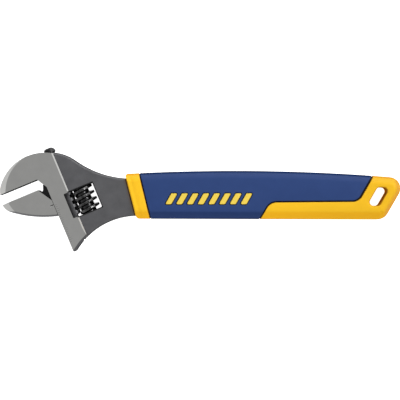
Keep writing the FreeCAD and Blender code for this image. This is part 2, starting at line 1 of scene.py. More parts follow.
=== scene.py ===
"""Adjustable wrench: the looks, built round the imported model.

Row frame, as in the model: the wrench lies flat with its underside at Z = 0, +X runs along the
handle away from the jaws and +Y to the fixed jaw's side. The head's details are given in the
slide frame: u across the jaw slide, v along it, about the worm's centre.
Lengths are millimetres here, and become metres where a mesh or a light is made.
"""
import math

import bmesh
import bpy
import numpy as np
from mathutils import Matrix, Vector
from mathutils.geometry import delaunay_2d_cdt


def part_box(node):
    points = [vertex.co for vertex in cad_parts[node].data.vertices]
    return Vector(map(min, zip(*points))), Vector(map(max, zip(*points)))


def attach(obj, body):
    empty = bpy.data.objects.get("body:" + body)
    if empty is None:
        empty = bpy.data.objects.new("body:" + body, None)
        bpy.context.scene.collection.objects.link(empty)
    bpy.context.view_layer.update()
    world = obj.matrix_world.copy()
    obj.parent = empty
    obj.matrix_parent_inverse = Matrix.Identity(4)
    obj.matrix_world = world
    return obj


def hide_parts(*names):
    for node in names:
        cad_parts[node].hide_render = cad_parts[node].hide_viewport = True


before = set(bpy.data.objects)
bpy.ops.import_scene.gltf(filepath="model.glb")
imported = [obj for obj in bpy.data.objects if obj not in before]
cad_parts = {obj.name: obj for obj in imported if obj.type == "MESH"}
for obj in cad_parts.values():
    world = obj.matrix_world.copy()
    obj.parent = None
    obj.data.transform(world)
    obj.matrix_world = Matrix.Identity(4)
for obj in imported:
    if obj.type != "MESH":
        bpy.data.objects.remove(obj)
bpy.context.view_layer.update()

MM = 0.001
FULL_TURN = 2 * math.pi

# ---------------------------------------------------------------- sizes, millimetres

grip_low, grip_high = (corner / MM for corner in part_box("grip_base"))
MID = (grip_low.z + grip_high.z) / 2
HALF = (grip_high.z - grip_low.z) / 2

# slide frame
HEAD_ANGLE = math.radians(22.5)
WORM_CENTRE = (-88.6, 0.1)
RAIL_LEFT, RAIL_RIGHT = -22.65, -8.5
WINDOW = (-12.9, 10.6, 10.0)   # its left and right sides, and half its height
WINDOW_EDGE = 0.8

# worm
WORM_RADIUS, WORM_ROOT, WORM_LENGTH = 9.3, 5.8, 19.8
THREAD_PITCH, THREAD_PHASE = 5.08, -2.56
THREAD_CREST = 1.9
THREAD_FLANK = math.radians(9.7)
THREAD_FILLET = 0.5            # its flanks turn into the root from this height down
RUN_OUT = (math.radians(-445), math.radians(-395))     # where the thread's lower end fades away
WORM_BORE = 2.56
SPRING_POCKET, SPRING_POCKET_DEEP = 4.2, 4.0
BORE_SEGMENTS = 48
KNURLS, STEPS_PER_KNURL = 32, 6
KNURL_DEEP, KNURL_SHARPNESS = 0.08, 3
KNURL_BAND = 0.2               # only the thread within this of its full radius is knurled

# grip, side view
TOP_CENTRE = (26.2, -1497.55)
TOP_REAR = (146.0, 17.73)
TOP_POINTS = 90
FRONT_TOP, FRONT_BOTTOM = (-57.6, 20.3), (-48.6, -14.4)
FRONT_TOP_ROUND, FRONT_BOTTOM_ROUND = 2.0, 3.0
FRONT_OVERRUN = 3.0            # lines along the front edge run on past its ends by this
PAST_FRONT = 20.0              # and the grip's sides run on past its front by this
SLANT = math.radians(60)
HEEL, HEEL_ROUND = (136.2, -5.55), 9.5
CORNER, CORNER_ROUND = (145.4, 8.95), 8.8
HEEL_START, HEEL_END, CORNER_END = -90, -30, 86        # degrees; the corner starts at the heel's end
OUTLINE_STEP = 2.5

# its edges
EDGE_ROUND = 7.0               # width of the rounded top and rear edges
EDGE_POWER = 2.5               # their superellipse
BEVEL_WIDE = 5.8               # lower bevel
BEVEL_SLOPE = math.radians(36)
BEVEL_BLEND = 1.5              # softness of the line between the bevel and the face
BEVEL_EDGE = 0.9               # small round where the bevel meets the underside
BEVEL_FACING = (0.6, 0.97)     # how far a side faces down, from fully round to fully bevelled
FRONT_ROUND = 1.4
FRONT_REACH = 12.0             # the front's round and dish end before this
DISH_DEEP, DISH_MIDDLE, DISH_WIDE = 0.4, 3.2, 1.5
LIP_ROUND = 0.55               # small round along the seam

# its blue panel, whose outline runs on past the grip's top and bottom
SEAM = 0.9
PANEL_SUNK = 0.25              # the panel lies this much under the yellow faces
PANEL_TOP, PANEL_BOTTOM = 24.0, -15.9
PANEL_FRONT_TOP, PANEL_FRONT_BOTTOM = -47.3, -37.6
PANEL_FRONT_LEAN = math.radians(14.9)
PANEL_FOOT, PANEL_FOOT_LEVEL, PANEL_FOOT_BACK = 45.7, -14.9, 0.6
PANEL_STEP_LEVEL, PANEL_STEP_ROUND = -1.5, 9.0
PANEL_REAR, PANEL_REAR_LEVEL, PANEL_REAR_ROUND = 121.0, -0.9, 8.0

# core of the base, coloured with the painted seam shade
SLEEVE_HALF = 7.7
SLEEVE_INSET = 0.6             # the sleeve's edge lies this far inside the grip's outline
SLEEVE_COVER = 1.1             # and its rounded edges this far under the surface
SLEEVE_SPAN = [(-52.5, 30.0), (-43.0, -30.0), (112.0, -30.0), (140.0, 30.0)]

# hang slot and pale bars
SLOT_CENTRE, SLOT_WIDE, SLOT_TALL, SLOT_CORNER = (136.5, 2.6), 8.3, 14.0, 2.9
SLOT_RIM = 1.1
BARS, BAR_PITCH, BAR_WIDE, BAR_TALL, BAR_CORNER = 8, 8.2, 4.6, 8.4, 0.7
BAR_FIRST, BAR_MIDDLE = -24.2, 0.9
BAR_DEEP = 1.2
BAR_EDGE = ((0.0, 0.45), (0.06, 0.22), (0.2, 0.06), (0.42, 0.0))   # each how far in and how far down
BAR_GAP = 0.5
POCKET_WALL, POCKET_LIP = 0.08, 0.25

# meshes
ARC_STEP = 1.5
INSET_SLACK = 0.05
SAME_POINT = 1e-4
CLOSED_EDGE = 1e-3             # where a plate is thinner than this, its faces share their points
CLEAR_OF_EDGE = 1e-3
SHARP_ANGLE = math.radians(35)

# ---------------------------------------------------------------- plane geometry


def to_row(u, v, z=0.0):
    """Slide frame to row frame."""
    cos, sin = math.cos(HEAD_ANGLE), math.sin(HEAD_ANGLE)
    return (WORM_CENTRE[0] + u * cos - v * sin, WORM_CENTRE[1] + u * sin + v * cos, MID + z)


def arc(centre, radius, start, end):
    """Points along an arc between two angles in degrees."""
    count = max(3, math.ceil(radius * math.radians(abs(end - start)) / ARC_STEP))
    turns = np.radians(np.linspace(start, end, count + 1))
    return [(centre[0] + radius * math.cos(a), centre[1] + radius * math.sin(a)) for a in turns]


def rounded(corners, step=0.6):
    """A closed outline through corners (x, y, radius)."""
    points = []
    for i, (x, y, radius) in enumerate(corners):
        corner = Vector((x, y))
        before = (Vector(corners[i - 1][:2]) - corner).normalized()
        after = (Vector(corners[(i + 1) % len(corners)][:2]) - corner).normalized()
        if not radius:
            points.append((x, y))
            continue
        half = before.angle(after) / 2
        middle = corner + (before + after).normalized() * (radius / math.sin(half))
        first = corner + before * (radius / math.tan(half)) - middle
        turn = first.angle_signed(corner + after * (radius / math.tan(half)) - middle)
        count = max(3, math.ceil(radius * abs(turn) / step))
        for k in range(count + 1):
            angle = math.atan2(first.y, first.x) - turn * k / count
            points.append((middle.x + radius * math.cos(angle), middle.y + radius * math.sin(angle)))
    return points


def densify(loop, step, closed=True):
    """The same outline with no two points further apart than step."""
    points = []
    following = loop[1:] + loop[:1] if closed else loop[1:]
    for a, b in zip(loop, following):
        count = max(1, math.ceil(math.dist(a, b) / step))
        points += [tuple(np.array(a) + (np.array(b) - np.array(a)) * k / count) for k in range(count)]
    return points if closed else points + [loop[-1]]


def nearest(points, loop, closed=True):
    """Distance from each point to an outline, and the way out at the nearest place on it."""
    a = np.array(loop, float)
    b = np.roll(a, -1, axis=0)
    if not closed:
        a, b = a[:-1], b[:-1]
    along = b - a
    share = np.einsum("nmk,mk->nm", points[:, None] - a[None], along) / (along**2).sum(1)
    foot = a[None] + np.clip(share, 0, 1)[..., None] * along[None]
    gap = np.linalg.norm(points[:, None] - foot, axis=2)
    best = gap.argmin(1)
    rows = np.arange(len(points))
    tangent = along[best] / np.linalg.norm(along[best], axis=1)[:, None]
    out = np.stack([tangent[:, 1], -tangent[:, 0]], axis=1)
    away = points - foot[rows, best]
    length = np.linalg.norm(away, axis=1)
    inward = -away / np.maximum(length, 1e-9)[:, None]
    normal = np.where((length > CLEAR_OF_EDGE)[:, None], inward, out)
    return gap[rows, best], normal


def inside(points, loop):
    """Which points lie inside a closed outline."""
    a = np.array(loop, float)
    b = np.roll(a, -1, axis=0)
    x, y = points[:, 0][:, None], points[:, 1][:, None]
    spans = (a[:, 1] > y) != (b[:, 1] > y)
    with np.errstate(divide="ignore", invalid="ignore"):
        cross = a[:, 0] + (y - a[:, 1]) * (b[:, 0] - a[:, 0]) / (b[:, 1] - a[:, 1])
    return (spans & (x < cross)).sum(1) % 2 == 1


def inset(loop, distance):
    """An outline moved inward, as runs of points that are really that far in."""
    a = np.array(loop, float)
    before, after = a - np.roll(a, 1, axis=0), np.roll(a, -1, axis=0) - a
    before /= np.linalg.norm(before, axis=1)[:, None]
    after /= np.linalg.norm(after, axis=1)[:, None]
    tangent = before + after
    tangent /= np.linalg.norm(tangent, axis=1)[:, None]
    moved = a + np.stack([-tangent[:, 1], tangent[:, 0]], axis=1) * distance
    kept = nearest(moved, loop)[0] > abs(distance) - INSET_SLACK
    runs, run = [], []
    for point, good in zip(moved, kept):
        if good:
            run.append(tuple(point))
        elif run:
            runs.append(run)
            run = []
    if kept.all():
        run.append(run[0])
    runs.append(run)
    return [r for r in runs if len(r) > 1]


# ---------------------------------------------------------------- grip outlines


def top_edge(x):
    radius = math.dist(TOP_CENTRE, TOP_REAR)
    return TOP_CENTRE[1] + math.sqrt(radius**2 - (x - TOP_CENTRE[0]) ** 2)


def top_run(front):
    """Points of the top edge, from its rear end to a place at its front."""
    return [(x, top_edge(x)) for x in np.linspace(TOP_REAR[0], front, TOP_POINTS)]


def rear_end():
    """Points of the rear end, from the heel up to the top edge."""
    heel = arc(HEEL, HEEL_ROUND, HEEL_START, HEEL_END)
    return heel + arc(CORNER, CORNER_ROUND, HEEL_END, CORNER_END)


def grip_sides():
    """Outline of the grip's long sides and rear end, carried on past its front."""
    beyond = FRONT_TOP[0] - PAST_FRONT
    points = [(beyond, FRONT_BOTTOM[1])] + rear_end() + top_run(beyond)
    return densify(points, OUTLINE_STEP)


def grip_region():
    """Outline of the whole grip, with its front corners rounded."""
    start = FRONT_TOP[0] + FRONT_OVERRUN
    points = rear_end() + top_run(start)[1:]
    corners = [
        (start, FRONT_TOP[1], 0),
        (*FRONT_TOP, FRONT_TOP_ROUND),
        (*FRONT_BOTTOM, FRONT_BOTTOM_ROUND),
        (*points[0], 0),
    ]
    return densify(points + rounded(corners, 0.3)[1:-1], OUTLINE_STEP)


def front_edge():
    """The grip's front edge: its top end, the way down along it, and the way into the grip."""
    top, bottom = np.array(FRONT_TOP), np.array(FRONT_BOTTOM)
    down = (bottom - top) / np.linalg.norm(bottom - top)
    return top, down, np.array([-down[1], down[0]])


def front_lines():
    """Lines along the front edge, close together where its round and dish are."""
    top, down, inward = front_edge()
    lines = []
    for depth in (0.1, 0.3, 0.7, FRONT_ROUND, 1.9, 2.5, 3.1, 3.7, 4.4, 5.2, 6.2):
        start = top + inward * depth - down * FRONT_OVERRUN
        end = np.array(FRONT_BOTTOM) + inward * depth + down * FRONT_OVERRUN
        lines.append(densify([tuple(start), tuple(end)], 2.0, False))
    return lines


def shell_zone(grow):
    """Panel that the blue shell covers, moved outward by grow where it meets the yellow base."""
    forward, backward = grow / math.cos(PANEL_FRONT_LEAN), grow / math.sin(SLANT)
    step_level, rear_level = PANEL_STEP_LEVEL - grow, PANEL_REAR_LEVEL - grow
    foot, rear = PANEL_FOOT + backward, PANEL_REAR + backward
    step = foot + (step_level - PANEL_FOOT_LEVEL) / math.tan(SLANT)
    rear_top = rear + (PANEL_TOP - rear_level) / math.tan(SLANT)
    corners = [
        (PANEL_FRONT_TOP - forward, PANEL_TOP, 0),
        (PANEL_FRONT_BOTTOM - forward, PANEL_BOTTOM, 0),
        (foot - PANEL_FOOT_BACK, PANEL_BOTTOM, 0),
        (step, step_level, PANEL_STEP_ROUND - grow),
        (rear, rear_level, PANEL_REAR_ROUND + grow),
        (rear_top, PANEL_TOP, 0),
    ]
    return densify(rounded(corners), 2.0)


def leaning(x, y, wide, tall, corner, grow, step):
    """A slanted box with level ends, moved outward by grow; wide is measured level."""
    high = tall / 2 + grow
    lean = high / math.tan(SLANT)
    side = wide / 2 + grow / math.sin(SLANT)
    corners = [(-side - lean, -high), (side - lean, -high), (side + lean, high), (lean - side, high)]
    return rounded([(x + across, y + up, corner + grow) for across, up in corners], step)


def hang_slot(grow=0.0):
    wide = SLOT_WIDE / math.sin(SLANT)
    return densify(leaning(*SLOT_CENTRE, wide, SLOT_TALL, SLOT_CORNER, grow, 0.3), 1.0)


def bar_outline(number, grow=0.0):
    middle = BAR_FIRST + number * BAR_PITCH + BAR_WIDE / 2
    return leaning(middle, BAR_MIDDLE, BAR_WIDE, BAR_TALL, BAR_CORNER, grow, 0.25)


# ---------------------------------------------------------------- grip heights


def smooth_step(low, high, value):
    share = np.clip((value - low) / (high - low), 0, 1)
    return share * share * (3 - 2 * share)


def smooth_min(a, b, soft):
    overlap = np.maximum(soft - abs(a - b), 0) / soft
    return np.minimum(a, b) - overlap * overlap * soft / 4


def superellipse(share):
    """Rises from 0 to 1 over a share from 0 to 1, straight up at first."""
    return (1 - np.clip(1 - share, 0, 1) ** EDGE_POWER) ** (1 / EDGE_POWER)


def round_drop(distance, radius):
    """How far a small round edge lies under the face, by the distance from the edge."""
    return radius - np.sqrt(radius**2 - np.clip(radius - distance, 0, radius) ** 2)


GRIP_SIDES = grip_sides()


def grip_half_height(points):
    """Half the grip's thickness at points of its side view, before seams and slots."""
    depth, out = nearest(points, GRIP_SIDES)
    depth = np.where(inside(points, GRIP_SIDES), depth, 0)
    round_side = HALF * superellipse(depth / EDGE_ROUND)
    slope = HALF - (BEVEL_WIDE - depth) * math.tan(BEVEL_SLOPE)
    bevel_side = smooth_min(slope, np.full_like(slope, HALF), BEVEL_BLEND)
    bevel_side = bevel_side * superellipse(depth / BEVEL_EDGE)
    low = smooth_step(*BEVEL_FACING, -out[:, 1])
    return round_side + (bevel_side - round_side) * low


def collar_dish(points):
    """Shallow dish round the collar: how far points are from the front, and the dish's depth there."""
    top, _, inward = front_edge()
    in_from_front = (points - top) @ inward
    dish = DISH_DEEP * np.exp(-(((in_from_front - DISH_MIDDLE) / DISH_WIDE) ** 2))
    return in_from_front, np.where(in_from_front < FRONT_REACH, dish, 0)


# ---------------------------------------------------------------- meshes


def link(name, mesh):
    made = bpy.data.objects.new(name, mesh)
    bpy.context.scene.collection.objects.link(made)
    return made


def mesh_from(name, vertices, faces):
    """A mesh whose vertices are given in millimetres."""
    mesh = bpy.data.meshes.new(name)
    mesh.from_pydata([tuple(c * MM for c in v) for v in vertices], [], faces)
    mesh.update()
    return mesh


def smooth(mesh):
    mesh.polygons.foreach_set("use_smooth", [True] * len(mesh.polygons))
    mesh.set_sharp_from_angle(angle=SHARP_ANGLE)
    mesh.update()


def paint(piece, *materials):
    for material in materials:
        piece.data.materials.append(material)


def triangulate(loops, lines, keep):
    """Splits the plane along closed loops and open lines into triangles, and keeps those that pass."""
    points, edges = [], []
    for loop in loops:
        first = len(points)
        points += loop
        edges += [(first + i, first + (i + 1) % len(loop)) for i in range(len(loop))]
    for line in lines:
        first = len(points)
        points += line
        edges += [(first + i, first + i + 1) for i in range(len(line) - 1)]
    made = delaunay_2d_cdt([Vector(p) for p in points], edges, [], 0, SAME_POINT)
    spots = np.array([tuple(p) for p in made[0]])
    triangles = np.array([list(f) for f in made[2]])
    return spots, triangles[keep(spots[triangles].mean(axis=1))]


def plate(name, spots, triangles, half_height):
    """A closed piece from its side view; half_height gives half its thickness at points of it."""
    used = np.unique(triangles)
    renumber = -np.ones(len(spots), int)
    renumber[used] = np.arange(len(used))
    spots, triangles = spots[used], renumber[triangles]
    height = half_height(spots)
    joined = height < CLOSED_EDGE
    front = np.arange(len(spots))
    back = np.where(joined, front, len(spots) + np.arange(len(spots)))
    vertices = [(x, y, MID + (0 if j else z)) for (x, y), z, j in zip(spots, height, joined)]
    vertices += [(x, y, MID - z) for (x, y), z in zip(spots, height)]
    faces = []
    rim = {}
    for a, b, c in triangles:
        if np.cross(spots[b] - spots[a], spots[c] - spots[a]) < 0:
            b, c = c, b
        faces.append((front[a], front[b], front[c]))
        if not (joined[a] and joined[b] and joined[c]):
            faces.append((back[a], back[c], back[b]))
        for one, two in ((a, b), (b, c), (c, a)):
            if rim.pop((two, one), None) is None:
                rim[(one, two)] = True
    for one, two in rim:
        ring = list(dict.fromkeys([front[two], front[one], back[one], back[two]]))
        if len(ring) > 2:
            faces.append(tuple(ring))
    mesh = mesh_from(name, vertices, [tuple(int(i) for i in f) for f in faces])
    bm = bmesh.new()
    bm.from_mesh(mesh)
    bmesh.ops.delete(bm, geom=[v for v in bm.verts if not v.link_faces], context="VERTS")
    bm.to_mesh(mesh)
    bm.free()
    return link(name, mesh)


def combine(base, tool, operation):
    """Boolean of two pieces, applied to the first."""
    cut = base.modifiers.new("combine", "BOOLEAN")
    cut.object, cut.operation, cut.solver = tool, operation, "EXACT"
    graph = bpy.context.evaluated_depsgraph_get()
    base.data = bpy.data.meshes.new_from_object(base.evaluated_get(graph))
    base.modifiers.clear()


def edge_rings():
    """Runs of points just inside the grip's sides, close together where the surface curves."""
    turn, beside = 8, 0.35
    steps = [EDGE_ROUND * (1 - math.cos(math.radians(a))) for a in range(turn, 91, turn)]
    steps += [0.25, 0.55, BEVEL_EDGE, BEVEL_WIDE - beside, BEVEL_WIDE, BEVEL_WIDE + beside]
    return [run for depth in sorted(steps) for run in inset(GRIP_SIDES, depth)]


def seam_rings(zone, side):
    """Runs of points along the seam, inside the panel's outline (side 1) or outside it (side -1)."""
    return [run for depth in (0.12, 0.3, LIP_ROUND) for run in inset(zone, depth * side)]


def make_grip_shell(moulded, dark):
    """Blue panel of both faces, with a pocket for each bar and room for the base's core."""
    region, zone = grip_region(), shell_zone(-SEAM / 2)
    pockets = [bar_outline(n, BAR_GAP) for n in range(BARS)]
    floors = [bar_outline(n, BAR_GAP - POCKET_WALL) for n in range(BARS)]
    lips = [bar_outline(n, BAR_GAP + POCKET_LIP) for n in range(BARS)]
    spots, triangles = triangulate(
        [region, zone] + pockets + floors + lips,
        edge_rings() + seam_rings(zone, 1),
        lambda p: inside(p, region) & inside(p, zone),
    )

    def height(points):
        full = grip_half_height(points) * (HALF - PANEL_SUNK) / HALF
        full -= round_drop(nearest(points, zone)[0], LIP_ROUND) * (full > LIP_ROUND)
        for pocket in pockets:
            near, _ = nearest(points, pocket)
            within = inside(points, pocket) & (near > POCKET_WALL / 2)
            lip = round_drop(near, POCKET_LIP) * ~within
            full = np.where(within, HALF - BAR_DEEP, full - lip)
        return np.maximum(full, 0)

    shell = plate("grip_shell_moulded", spots, triangles, height)
    paint(shell, moulded, dark)
    # painted shade: the bars' pocket floors take the dark seam material
    for face in shell.data.polygons:
        face.material_index = int(is_pocket_floor(face))
    sleeve = make_sleeve(moulded, dark)
    combine(shell, sleeve, "DIFFERENCE")
    bpy.data.objects.remove(sleeve)
    return shell


def is_pocket_floor(face):
    """Whether a face lies flat at the level of the bars' pockets."""
    under_face = HALF - abs(face.center.z / MM - MID)
    return abs(under_face - BAR_DEEP) < 0.02 and abs(face.normal.z) > 0.99


def make_sleeve(moulded, dark):
    """Core of the base that runs on inside the shell, a little under the grip's surface, coloured with
    painted shade.
    """
    edge = inset(GRIP_SIDES, SLEEVE_INSET)[0]
    spots, triangles = triangulate(
        [edge, SLEEVE_SPAN],
        edge_rings(),
        lambda p: inside(p, edge) & inside(p, SLEEVE_SPAN),
    )
    sleeve = plate(
        "sleeve",
        spots,
        triangles,
        lambda p: np.minimum(grip_half_height(p) - SLEEVE_COVER, SLEEVE_HALF),
    )
    paint(sleeve, moulded, dark)
    # painted shade: the whole core takes the dark seam material, so the seam's groove reads dark
    sleeve.data.polygons.foreach_set("material_index", [1] * len(sleeve.data.polygons))
    return sleeve


def make_grip_base(moulded, dark):
    """Yellow collar, belly and rear end, with the hang slot, joined by a core coloured with painted shade.
    """
    region, room, hole = grip_region(), shell_zone(SEAM / 2), hang_slot()
    rims = [hang_slot(grow) for grow in (0.1, 0.3, 0.65, SLOT_RIM)]
    spots, triangles = triangulate(
        [region, room, hole] + rims,
        edge_rings() + seam_rings(room, -1) + front_lines(),
        lambda p: inside(p, region) & ~inside(p, room) & ~inside(p, hole),
    )

    def height(points):
        in_from_front, dish = collar_dish(points)
        full = grip_half_height(points)
        at_front = HALF - round_drop(np.maximum(in_from_front, 0), FRONT_ROUND)
        full = np.minimum(full, np.where(in_from_front < FRONT_REACH, at_front, HALF))
        full -= dish * np.clip(full / HALF, 0, 1)
        full -= round_drop(nearest(points, room)[0], LIP_ROUND) * (full > LIP_ROUND)
        full -= round_drop(nearest(points, hole)[0], SLOT_RIM)
        return np.maximum(full, 0)

    base = plate("grip_base_moulded", spots, triangles, height)
    paint(base, moulded, dark)
    sleeve = make_sleeve(moulded, dark)
    combine(base, sleeve, "UNION")
    bpy.data.objects.remove(sleeve)
    return base


def bar_skin(number, side, first):
    """Points and faces of one bar on the upper (1) or lower (-1) face, numbered from first.

    A known fault: its rings have 22, 22, 22, 20 and 16 points, but are joined as if all had the
    last one's 16. So its side faces cross inside the bar, its top is 0.06 to 0.22 mm low, and
    22 of its points are left loose.
    """
    levels = [(0.0, BAR_DEEP), *BAR_EDGE]
    outlines = [bar_outline(number, -shrink) for shrink, _ in levels]
    points = []
    for outline, (_, drop) in zip(outlines, levels):
        points += [(x, y, MID + side * (HALF - drop)) for x, y in outline]
    count = len(outlines[-1])
    rings = [[first + k * count + i for i in range(count)] for k in range(len(levels))]
    faces = [tuple(rings[0][::-1]), tuple(rings[-1])]
    for low, high in zip(rings, rings[1:]):
        faces += [(low[i - 1], low[i], high[i], high[i - 1]) for i in range(count)]
    if side < 0:
        faces = [face[::-1] for face in faces]
    return points, faces


def make_inlays(moulded):
    """Pale bars that stand in pockets of the panel, on both faces."""
    vertices, faces = [], []
    for side in (1, -1):
        for number in range(BARS):
            points, skin = bar_skin(number, side, len(vertices))
            vertices += points
            faces += skin
    bars = link("panel_bars", mesh_from("panel_bars", vertices, faces))
    paint(bars, moulded)
    return bars


def thread_profile():
    """One pitch of the worm's profile: distance along from the crest's middle, and radius."""
    crest = THREAD_CREST / 2
    base = crest + (WORM_RADIUS - WORM_ROOT) * math.tan(THREAD_FLANK)
    flank = base - THREAD_FILLET * math.tan(THREAD_FLANK)
    half = [
        (0.0, WORM_RADIUS),
        (crest - 0.3, WORM_RADIUS),
        (crest - 0.09, WORM_RADIUS - 0.09),
        (crest + 0.05, WORM_RADIUS - 0.35),
        ((crest + flank) / 2, (WORM_RADIUS + WORM_ROOT) / 2),
        (flank, WORM_ROOT + THREAD_FILLET),
        (flank + 0.1, WORM_ROOT + 0.2),
        (flank + 0.32, WORM_ROOT + 0.04),
        (flank + 0.6, WORM_ROOT),
    ]
    return [(-along, radius) for along, radius in half[:0:-1]] + half


def thread_skin():
    """Points and faces of the helical thread, longer than the worm at both ends."""
    profile = thread_profile()
    width = len(profile)
    per_turn = KNURLS * STEPS_PER_KNURL
    turns = math.ceil(WORM_LENGTH / THREAD_PITCH) + 3
    vertices = []
    for step in range(per_turn * turns):
        angle = -turns / 2 * FULL_TURN + step * FULL_TURN / per_turn
        notch = (0.5 + 0.5 * math.cos(KNURLS * angle)) ** KNURL_SHARPNESS * KNURL_DEEP
        fade = float(smooth_step(*RUN_OUT, angle))
        for along, radius in profile:
            if radius > WORM_RADIUS - KNURL_BAND:
                radius -= notch
            radius = WORM_ROOT + (radius - WORM_ROOT) * fade
            v = THREAD_PHASE + along + THREAD_PITCH * angle / FULL_TURN
            vertices.append(to_row(radius * math.sin(angle), v, radius * math.cos(angle)))
    faces = []
    for step in range(per_turn * turns - 1):
        row, following = step * width, (step + 1) * width
        faces += [(row + i, row + i + 1, following + i + 1, following + i) for i in range(width - 1)]
        above = row + per_turn * width
        if above + width < len(vertices):
            faces.append((row + width - 1, above, above + width, following + width - 1))
    return vertices, faces


def cut_end(bm, v):
    """Cuts the thread off beyond a place on the worm's axis, and returns the edges of the cut."""
    along = (Vector(to_row(0, v)) - Vector(to_row(0, 0))).normalized()
    spot = Vector(to_row(0, v)) * MM
    everything = bm.verts[:] + bm.edges[:] + bm.faces[:]
    cut = bmesh.ops.bisect_plane(
        bm, geom=everything, dist=1e-7, plane_co=spot, plane_no=along, clear_outer=True
    )
    return [g for g in cut["geom_cut"] if isinstance(g, bmesh.types.BMEdge)]


def bore_ring(bm, v, radius):
    """A ring of points round the worm's axis."""
    turns = [FULL_TURN * k / BORE_SEGMENTS for k in range(BORE_SEGMENTS)]
    spots = [to_row(radius * math.sin(a), v, radius * math.cos(a)) for a in turns]
    return [bm.verts.new([c * MM for c in spot]) for spot in spots]


def bore_out(bm, rims):
    """The worm's bore and spring pocket, joined to the cut edges of its two ends."""
    half = WORM_LENGTH / 2
    inner = SPRING_POCKET_DEEP - half
    levels = [(half, WORM_BORE), (inner, WORM_BORE), (inner, SPRING_POCKET), (-half, SPRING_POCKET)]
    rings = [bore_ring(bm, v, radius) for v, radius in levels]
    for one, two in zip(rings, rings[1:]):
        for k in range(BORE_SEGMENTS):
            bm.faces.new((one[k - 1], one[k], two[k], two[k - 1]))
    for rim, ring in zip(rims, (rings[0], rings[-1])):
        rim += [bm.edges.get((ring[k - 1], ring[k])) for k in range(BORE_SEGMENTS)]
        bmesh.ops.triangle_fill(bm, use_beauty=True, use_dissolve=False, edges=rim)


def make_worm(finish):
    """Helical thread with an axially knurled crest, cut square at both ends and bored."""
    mesh = mesh_from("worm_thread", *thread_skin())
    bm = bmesh.new()
    bm.from_mesh(mesh)
    rims = [cut_end(bm, side * WORM_LENGTH / 2) for side in (1, -1)]
    bore_out(bm, rims)
    bmesh.ops.recalc_face_normals(bm, faces=bm.faces[:])
    bm.to_mesh(mesh)
    bm.free()
    worm = link("worm_knurled", mesh)
    paint(worm, finish)
    return worm


# ---------------------------------------------------------------- materials


